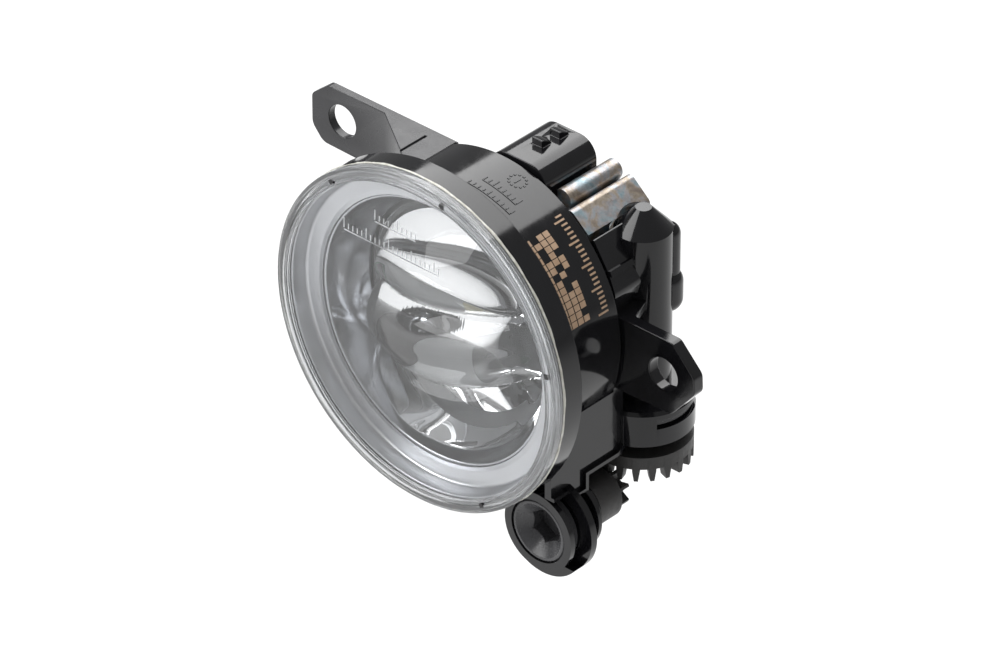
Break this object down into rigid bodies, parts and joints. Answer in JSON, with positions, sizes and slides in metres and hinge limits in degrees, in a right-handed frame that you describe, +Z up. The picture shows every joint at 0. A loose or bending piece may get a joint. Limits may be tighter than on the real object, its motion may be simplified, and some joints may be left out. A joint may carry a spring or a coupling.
{
  "type": "fog light",
  "caption": "Round LED fog light with a clear welded lens, a finned heatsink, two mounting tabs and a front-operated gear for aiming it.",
  "frame": {"origin": "centre of the lens rim, on the front plane of the lens flange", "axes": "+Z up, the lens faces -Y, +X to the right seen from the front"},
  "size_m": [0.1211, 0.0605, 0.1028],
  "materials": {
    "lens_clear": "polished clear plastic",
    "housing_black": "gloss",
    "tab_black": "satin",
    "bracket_black": "gloss",
    "gear_black": "matte",
    "clip_black": "satin",
    "zinc_steel": "zinc plated",
    "reflector_bright": "bright metallised",
    "optic_clear": "polished clear silicone",
    "carrier_grey": "matte",
    "board_white": "solder mask",
    "emitter_yellow": "phosphor",
    "pad_grey": "soft",
    "board_green": "solder mask",
    "component_dark": "moulded",
    "header_dark": "moulded",
    "sink_aluminium": "passivated die casting",
    "seal_rubber": "soft",
    "vent_black": "matte",
    "connector_black": "gloss",
    "contact_brass": "tin plated brass"
  },
  "bodies": {
    "lamp": {"outer_lens": "lens_clear", "housing": "housing_black", "left_mounting_tab": "tab_black", "right_mounting_tab": "tab_black", "adjuster_bracket": "bracket_black", "adjuster_tower": "bracket_black", "gear_retaining_clip": "clip_black", "reflector": "reflector_bright", "projector_optic": "optic_clear", "optic_carrier": "carrier_grey", "led_board": "board_white", "led_emitters": "emitter_yellow", "thermal_pad": "pad_grey", "board_screws": "zinc_steel", "driver_board": "board_green", "driver_components": "component_dark", "board_header": "header_dark", "heatsink": "sink_aluminium", "heatsink_seal": "seal_rubber", "heatsink_screws": "zinc_steel", "vent_plug": "vent_black", "connector_shroud": "connector_black", "connector_pins": "contact_brass"},
    "adjuster": {"drive_cup": "gear_black", "pinion_gear": "gear_black"},
    "crown": {"crown_gear": "gear_black"},
    "spindle": {"aim_spindle": "zinc_steel"}
  },
  "joints": [
    {"name": "adjuster_turn", "type": "hinge", "parent": "lamp", "child": "adjuster", "pos_m": [0.0309, 0.0097, -0.045], "axis": [0, 1, 0], "range_deg": [0, 2700]},
    {"name": "crown_turn", "type": "hinge", "parent": "lamp", "child": "crown", "pos_m": [0.0309, 0.0466, -0.0374], "axis": [0, 0, 1], "range_deg": [0, 1080]},
    {"name": "spindle_slide", "type": "slide", "parent": "lamp", "child": "spindle", "axis": [0, 0, -1], "range_m": [0, 0.006]}
  ],
  "couplings": [
    {"joint": "adjuster_turn", "follows": "crown_turn", "ratio": 2.5},
    {"joint": "spindle_slide", "follows": "crown_turn", "m_per_rad": 0.00031831}
  ]
}
